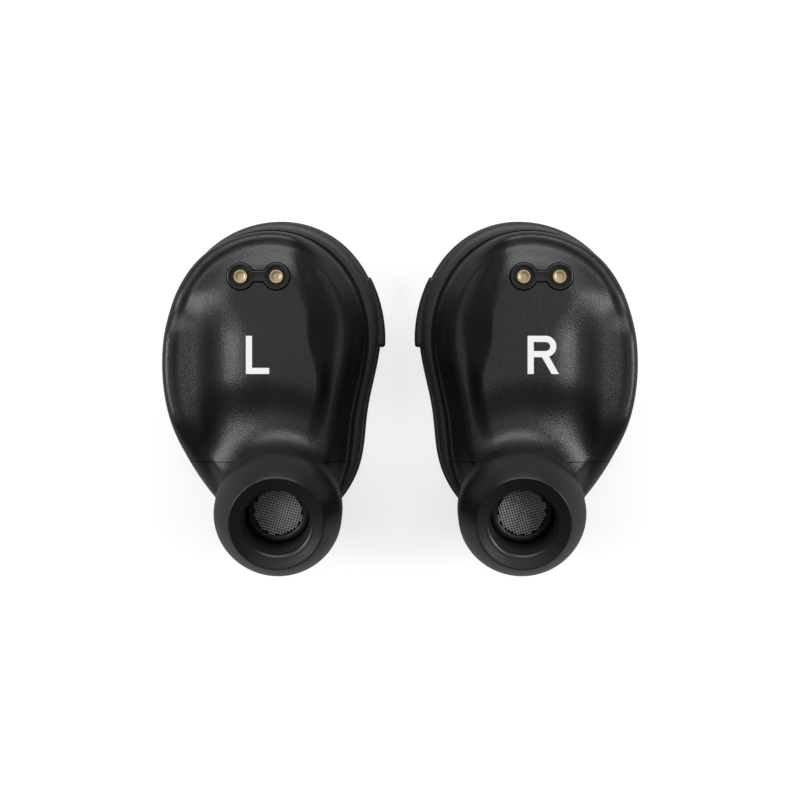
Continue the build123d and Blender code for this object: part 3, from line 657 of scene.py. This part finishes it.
for side in sides:
    b = button
    cap = bentBlock(b["length"], b["inner"], b["out"], b["low"], b["high"], b["round"])
    press = meshObject(side + "SideButton", cap, side)
    rail = bentBlock(b["length"] + 2 * b["retainer"], b["inner"] - b["retainerThickness"],
                     b["inner"] - b["retainerGap"], b["low"], b["high"], 0)
    joinInto(press, meshObject("keeper", rail, side))
    sharpenByAngle(press, 40)
    finishPiece(press, side, "button", "button_black", finishes["buttonBlack"], "side_button")
print("buttons made")

# Outer cover
cover = {"wall": 1.1, "edge": 0.12, "shoulderZ": 4.8, "rebate": 0.08, "rebateDepth": 0.75, "lap": 0.02,
         "topRound": 0.4, "baseIn": 0.6, "floor": 0.6, "floorIn": 4.0}


# The cover's outline between its foot and the parting line, a share of each
def coverRing(z, inset, spread):
    ring = []
    for a, an, b, bn in zip(footLine, footOut, seamLine, seamOut):
        x = a[0] * spread + b[0] * (1 - spread) - (an[0] * spread + bn[0] * (1 - spread)) * inset
        y = a[1] * spread + b[1] * (1 - spread) - (an[1] * spread + bn[1] * (1 - spread)) * inset
        ring.append((x, y, z))
    return ring


def coverRings():
    c = cover
    edge = c["edge"]
    rings = [coverRing(plateZ, c["baseIn"], 1)]
    for k in range(5):
        a = 0.5 * math.pi * k / 4
        rings.append(coverRing(plateZ + edge * (1 - math.cos(a)), edge * (1 - math.sin(a)), 1))
    for k in range(1, 7):
        rings.append(coverRing(plateZ + edge + (c["shoulderZ"] - plateZ - edge) * k / 6, 0, 1))
    for k in range(1, 13):
        a = 0.5 * math.pi * k / 12
        rise = (seamZ - c["shoulderZ"] - edge * 0.5) * math.sin(a)
        rings.append(coverRing(c["shoulderZ"] + rise, edge * c["topRound"] * (1 - math.cos(a)), math.cos(a)))
    foot = seamZ - c["rebateDepth"]
    floorZ = plateZ + c["floor"]
    for z, inset, spread in ((seamZ - c["lap"], c["rebate"], 0), (foot, c["rebate"], 0), (foot, c["wall"], 0),
                             (floorZ, c["wall"], 1), (floorZ, c["floorIn"], 1), (plateZ, c["floorIn"], 1)):
        rings.append(coverRing(z, inset, spread))
    return rings


for side in sides:
    bm, _ = skinRings(coverRings(), joinEnds=True)
    band = meshObject(side + "OuterCover", bm, side)
    b = button
    slot = bentBlock(b["length"] + 2 * b["gap"], b["slotFrom"], b["slotTo"], b["low"] - b["gap"],
                     b["high"] + b["gap"], b["slotRound"])
    cutWith(band, meshObject("slot", slot, side))
    sharpenByAngle(band, 45)
    finishPiece(band, side, "bud", "cover_black", finishes["coverBlack"], "outer_cover")
print("covers made")

# Faceplate
plate = {"round": 0.78, "topEdge": 0.1, "middleDown": 1.0, "below": (0.9, 0.6, 0.3, 0.1),
         "above": (0.1, 0.4, 0.9), "holes": {"light_guide": (0.54, 48), "microphone": (0.35, 40)},
         "holeZ": 0.5, "holeDepth": 4}


def plateRing(inset, z):
    return [(p[0] - n[0] * inset, p[1] - n[1] * inset, z) for p, n in zip(plateLine, plateOut)]


# The flat's outline drawn in towards its middle by a share
def plateFlat(t, z):
    shift = outline["plateShift"]
    mid = (eggCentre.x + shift[0], eggCentre.y + shift[1] - plate["middleDown"])
    return [(x + (mid[0] - x) * t, y + (mid[1] - y) * t, z) for x, y, _ in plateRing(plate["round"], z)]


def plateRings():
    rings = [plateFlat(t, 0.0) for t in plate["below"]]
    for k in range(9):
        a = 0.5 * math.pi * k / 8
        rings.append(plateRing(plate["round"] * (1 - math.sin(a)), plate["round"] * (1 - math.cos(a))))
    edge = plate["topEdge"]
    for k in range(4):
        a = 0.5 * math.pi * k / 3
        rings.append(plateRing(edge * (1 - math.cos(a)), plateZ - edge + edge * math.sin(a)))
    return rings + [plateFlat(t, plateZ) for t in plate["above"]]


for side in sides:
    bm, _ = skinRings(plateRings(), closeStart=True, closeEnd=True)
    face = meshObject(side + "Faceplate", bm, side)
    holes = bmesh.new()
    for node, (radius, segments) in plate["holes"].items():
        low, high = boxOf("left_" + node)
        spot = Matrix.Translation(((low.x + high.x) / 2, (low.y + high.y) / 2, plate["holeZ"]))
        bmesh.ops.create_cone(holes, cap_ends=True, segments=segments, radius1=radius, radius2=radius,
                              depth=plate["holeDepth"], matrix=spot)
    cutWith(face, meshObject("holes", holes, side))
    sharpenByAngle(face, 45)
    finishPiece(face, side, "bud", "faceplate_black", finishes["plateBlack"], "faceplate")
print("faceplates made")

# Ear tip
# Points are given as a radius, or a distance from one, and a place along the tip's axis
tip = {"radius": 5.98, "shoulder": 3.1, "length": 6.18, "crestR": 4.33, "crestRound": 0.12, "coneFoot": 0.3,
       "coneKnee": 0.44, "crestFrom": 44, "crestTo": 106, "mouthR": 3.5, "mouthDepth": 0.26, "boreR": 3.03,
       "stemR": 3.88, "stemEnd": -0.33, "stemEdge": 0.12, "skirt": 0.55, "wallFrom": 0.7, "wallDraft": 0.03,
       "boreRound": 0.5,
       "hem": [(-0.30, 0.02), (-0.16, 0.06), (-0.07, 0.16), (-0.02, 0.34)],
       "bore": [3.6, 2.4, 1.0],
       "stem": [(0.0, 2.4), (0.1, 3.2), (0.4, 3.45)],
       "inside": [(-0.5, 3.35), (-0.15, 3.0), (0.0, 2.0), (0.0, 0.3), (0.06, 0.08), (0.14, 0.02)]}


def tipProfile():
    t = tip
    r = t["radius"]
    draft = t["wallDraft"]
    wall = t["shoulder"] - t["wallFrom"]
    line = [(r + x, y) for x, y in t["hem"]]
    line += [(r - draft * smoothStep(k / 4), t["wallFrom"] + wall * k / 4) for k in range(5)]
    beadMid = t["length"] - t["crestRound"]
    a = math.radians(t["crestFrom"])
    start = Vector((r - draft, t["shoulder"]))
    end = Vector((t["crestR"] + t["crestRound"] * math.cos(a), beadMid + t["crestRound"] * math.sin(a)))
    knee = Vector((r - t["coneFoot"], t["shoulder"] + (end.y - start.y) * t["coneKnee"]))
    for k in range(1, 16):
        f = k / 16
        line.append(tuple(start * (1 - f) ** 2 + knee * 2 * f * (1 - f) + end * f * f))
    for k in range(9):
        a = math.radians(t["crestFrom"] + (t["crestTo"] - t["crestFrom"]) * k / 8)
        line.append((t["crestR"] + t["crestRound"] * math.cos(a), beadMid + t["crestRound"] * math.sin(a)))
    inR, inZ = line[-1]
    low = t["length"] - t["mouthDepth"]
    line += [(inR + (t["mouthR"] - inR) * k / 6, inZ + (low - inZ) * k / 6) for k in range(1, 6)]
    for k in range(9):
        a = 0.5 * math.pi * k / 8
        across = t["mouthR"] - (t["mouthR"] - t["boreR"]) * math.sin(a)
        line.append((across, low - t["boreRound"] * (1 - math.cos(a))))
    edge = t["stemEdge"]
    line += [(t["boreR"], y) for y in t["bore"]]
    line += [(t["boreR"], t["stemEnd"] + edge), (t["boreR"] + 0.08, t["stemEnd"]),
             (t["stemR"] - 0.1, t["stemEnd"]), (t["stemR"], t["stemEnd"] + edge)]
    line += [(t["stemR"] + x, y) for x, y in t["stem"]]
    line += [(r - t["skirt"] + x, y) for x, y in t["inside"]]
    return line


for side in sides:
    bud = meshObject(side + "EarTip", turnProfile(tipProfile(), tipFoot, tipAxis, 216), side)
    sharpenByAngle(bud, 60)
    finishPiece(bud, side, "ear_tip_body", "tip_silicone", finishes["tipSilicone"], "ear_tip")
print("ear tips made")

# Woven screen
screen = {"radius": 2.3, "pitch": 0.25, "wire": 0.062, "place": 2.02, "turn": -16.0,
          "clothFrom": -0.09, "clothTo": -0.06}
wireCorners = [(screen["wire"], 0), (0, screen["wire"]), (-screen["wire"], 0), (0, -screen["wire"])]


# One wire: a four sided bar extruded from place to place, over and under the wires it crosses
def addWire(bm, centre, run, other, k, phase):
    pitch = screen["pitch"]
    half = math.sqrt(max(screen["radius"] ** 2 - (k * pitch) ** 2, 0.0))
    steps = int(half / pitch)
    if steps < 1:
        return
    start = centre + run * (-steps - 0.5) * pitch
    ring = [bm.verts.new(start + other * (k * pitch + du) + tipAxis * dv) for du, dv in wireCorners]
    edges = [bm.edges.new((ring[i], ring[(i + 1) % 4])) for i in range(4)]
    for j in range(-steps, steps + 1):
        wave = screen["wire"] * (1 if (j + k + phase) % 2 else -1)
        out = bmesh.ops.extrude_edge_only(bm, edges=edges)["geom"]
        fresh = {v for v in out if isinstance(v, bmesh.types.BMVert)}
        ring = [next(e.other_vert(v) for e in v.link_edges if e.other_vert(v) in fresh) for v in ring]
        for v, (du, dv) in zip(ring, wireCorners):
            v.co = centre + run * j * pitch + other * (k * pitch + du) + tipAxis * (dv + wave)
        edges = [bm.edges.get((ring[i], ring[(i + 1) % 4])) for i in range(4)]


def weaveScreen():
    bm = bmesh.new()
    count = int(screen["radius"] / screen["pitch"])
    across = Vector((1, 0, 0))
    up = tipAxis.cross(across).normalized()
    turn = math.radians(screen["turn"])
    a = across * math.cos(turn) + up * math.sin(turn)
    b = tipAxis.cross(a)
    centre = tipFoot + tipAxis * screen["place"]
    for run, other, phase in ((a, b, 0), (b, a, 1)):
        for k in range(-count, count + 1):
            addWire(bm, centre, run, other, k, phase)
    bmesh.ops.holes_fill(bm, edges=bm.edges, sides=4)
    bmesh.ops.recalc_face_normals(bm, faces=bm.faces)
    return bm


weave = weaveScreen()
weaveMesh = bpy.data.meshes.new("weave")
weave.to_mesh(weaveMesh)
weave.free()
for side in sides:
    bm = bmesh.new()
    bm.from_mesh(weaveMesh)
    wires = meshObject(side + "ScreenWires", bm, side)
    finishPiece(wires, side, "bud", "screen_mesh", finishes["screenWire"], "nozzle_screen")
    low = screen["place"] + screen["clothFrom"]
    high = screen["place"] + screen["clothTo"]
    disc = [(0, low), (screen["radius"], low), (screen["radius"], high), (0, high)]
    cloth = meshObject(side + "ScreenCloth", turnProfile(disc, tipFoot, tipAxis, 96), side)
    finishPiece(cloth, side, "bud", "screen_mesh", finishes["screenCloth"])
print("screens woven")

# Charging contacts
contact = {"radius": 0.7, "chamfer": 0.07, "dimple": 0.05, "foot": 0.8, "footThickness": 0.2, "shank": 0.45,
           "dimpleR": 0.2, "dimpleSide": (0.34, 0.75), "dimpleRim": (0.44, 0.01), "flatFrom": 0.5,
           "edgeIn": 0.02, "edgeDown": 0.03, "headDown": 0.95}


def contactProfile():
    c = contact
    r = c["radius"]
    top = contactHigh.z
    low = contactLow.z
    neck = holderHigh.z - c["headDown"]
    side, deep = c["dimpleSide"]
    rim, rimDeep = c["dimpleRim"]
    foot = low + c["footThickness"]
    return [(0, top - c["dimple"]), (c["dimpleR"], top - c["dimple"]), (side, top - c["dimple"] * deep),
            (rim, top - rimDeep), (c["flatFrom"], top), (r - c["chamfer"], top),
            (r - c["edgeIn"], top - c["chamfer"]), (r, top - c["chamfer"] - c["edgeDown"]),
            (r, neck), (c["shank"], neck), (c["shank"], foot), (c["foot"], foot), (c["foot"], low), (0, low)]


for side in sides:
    pins = None
    for k in (-1, 1):
        spot = (contactMid.x + k * contactGap / 2, contactMid.y, 0)
        turned = turnProfile(contactProfile(), spot, (0, 0, 1), 96, closed=False)
        pin = meshObject(side + "ChargingContacts", turned, side)
        pins = pin if pins is None else joinInto(pins, pin)
    sharpenByAngle(pins, 25)
    finishPiece(pins, side, "bud", "contact_gold", finishes["contactGold"], "charging_contacts")
print("contacts turned")

# Printed letters
letter = {"height": 3.6, "stroke": 0.58, "ink": 0.028, "foot": 2.2, "bowShare": 0.28, "bowX": 1.7,
          "legTop": 1.35, "legFoot": (2.27, 2.95), "legJoin": (2.05, 0.03), "cutDepth": 1}


def arcPoints(middle, radius, angles):
    return [(middle[0] + radius * math.sin(a), middle[1] + radius * math.cos(a)) for a in angles]


# The outline of the left bud's letter, and that of the right bud's with the outline of its hollow
def letterLines(side, x, y):
    s = letter["stroke"]
    h = letter["height"]
    foot = letter["foot"]
    if side == "left":
        return [(x, y), (x + foot, y), (x + foot, y + s), (x + s, y + s), (x + s, y + h), (x, y + h)], None
    r = h * letter["bowShare"]
    middle = (x + letter["bowX"], y + h - r)
    low = middle[1] - r
    bow = arcPoints(middle, r, np.linspace(0, math.pi, 25))
    hollow = arcPoints(middle, r - s, np.linspace(math.pi, 0, 19))
    legIn, legOut = letter["legFoot"]
    joinX, joinUp = letter["legJoin"]
    outer = [(x, y), (x + s, y), (x + s, low), (x + letter["legTop"], low), (x + legIn, y), (x + legOut, y),
             (x + joinX, low + joinUp)]
    inner = [(x + s, middle[1] + r - s), *hollow[::-1], (x + s, low + s)]
    return outer + bow[::-1][1:] + [(x, y + h)], inner


# A flat outline given a thickness
def slab(line, z, thickness):
    bm = bmesh.new()
    bm.faces.new([bm.verts.new((a, b, z)) for a, b in line])
    bmesh.ops.triangulate(bm, faces=bm.faces)
    lifted = bmesh.ops.extrude_face_region(bm, geom=bm.faces[:])["geom"]
    top = [v for v in lifted if isinstance(v, bmesh.types.BMVert)]
    bmesh.ops.translate(bm, vec=(0, 0, thickness), verts=top)
    bmesh.ops.recalc_face_normals(bm, faces=bm.faces)
    return bm


# Each letter is drawn in its own place, so neither is mirrored
def flatLetter(side):
    low = boxOf(side + "_letter")[0]
    line, hollow = letterLines(side, low.x, low.y)
    thing = meshObject(side + "Letter", slab(line, plateauZ, letter["ink"]), "left")
    for face in thing.data.polygons:
        face.use_smooth = False
    if hollow:
        deep = letter["cutDepth"]
        cutWith(thing, meshObject("counter", slab(hollow, plateauZ - deep, 2 * deep), "left"))
    return thing


for side in sides:
    finishPiece(flatLetter(side), side, "bud", "letter_white", finishes["letterWhite"], "letter")
print("letters made")

# Floor, lights, camera
studio = {"floor": 0.6, "floorGlow": 0.70, "skyGlow": 0.08, "cameraHeight": 0.2624, "lens": 120.0,
          "middleY": -0.00040}
bm = bmesh.new()
bmesh.ops.create_grid(bm, x_segments=8, y_segments=8, size=studio["floor"])
floorMesh = bpy.data.meshes.new("floor")
bm.to_mesh(floorMesh)
bm.free()
floor = bpy.data.objects.new("floor", floorMesh)
bpy.context.scene.collection.objects.link(floor)
floorPaint, floorTree, floorShader = newMaterial("floorPaint")
floorShader.inputs["Base Color"].default_value = (0.38, 0.38, 0.38, 1)
floorShader.inputs["Roughness"].default_value = 0.9
floorShader.inputs["Specular IOR Level"].default_value = 0.0
floorShader.inputs["Emission Color"].default_value = (1, 1, 1, 1)
seenBy = addNode(floorTree, "ShaderNodeLightPath")
glow = addNode(floorTree, "ShaderNodeMath", {1: studio["floorGlow"]}, operation="MULTIPLY")
floorTree.links.new(seenBy.outputs["Is Camera Ray"], glow.inputs[0])
floorTree.links.new(glow.outputs[0], floorShader.inputs["Emission Strength"])
floorMesh.materials.append(floorPaint)

world = bpy.data.worlds.new("studio")
bpy.context.scene.world = world
world.use_nodes = True
world.node_tree.nodes["Background"].inputs["Color"].default_value = (1, 1, 1, 1)
world.node_tree.nodes["Background"].inputs["Strength"].default_value = studio["skyGlow"]


def softBox(name, place, target, width, height, power):
    light = bpy.data.lights.new(name, "AREA")
    light.shape = "RECTANGLE"
    light.size, light.size_y = width, height
    light.energy = power
    lamp = bpy.data.objects.new(name, light)
    lamp.location = place
    lamp.rotation_euler = (Vector(target) - Vector(place)).to_track_quat("-Z", "Y").to_euler()
    bpy.context.scene.collection.objects.link(lamp)
    return lamp


softBox("topLight", (0.0, 0.36, 0.30), (0, 0, 0), 0.50, 0.20, 1.55)
softBox("overLight", (-0.02, 0.05, 0.60), (0, 0, 0), 0.30, 0.30, 0.22)
for side, turn in sides.items():                # each bud has a side light of its own, flagged off the other
    lit = bpy.data.collections.new(side + "Lit")
    for thing in bpy.data.objects:
        if thing.type == "MESH" and (thing.name.startswith(side) or thing == floor):
            lit.objects.link(thing)
    lamp = softBox(side + "Light", (-turn * 0.30, 0.03, 0.27), (0, 0, 0.01), 0.14, 0.30, 1.05)
    lamp.light_linking.receiver_collection = lit

camera = bpy.data.objects.new("camera", bpy.data.cameras.new("camera"))
camera.data.lens = studio["lens"]
camera.data.sensor_width = 36.0
camera.data.clip_start = 0.01
camera.location = (0, studio["middleY"], studio["cameraHeight"])
bpy.context.scene.collection.objects.link(camera)
bpy.context.scene.camera = camera
bpy.context.scene.view_settings.view_transform = "Standard"
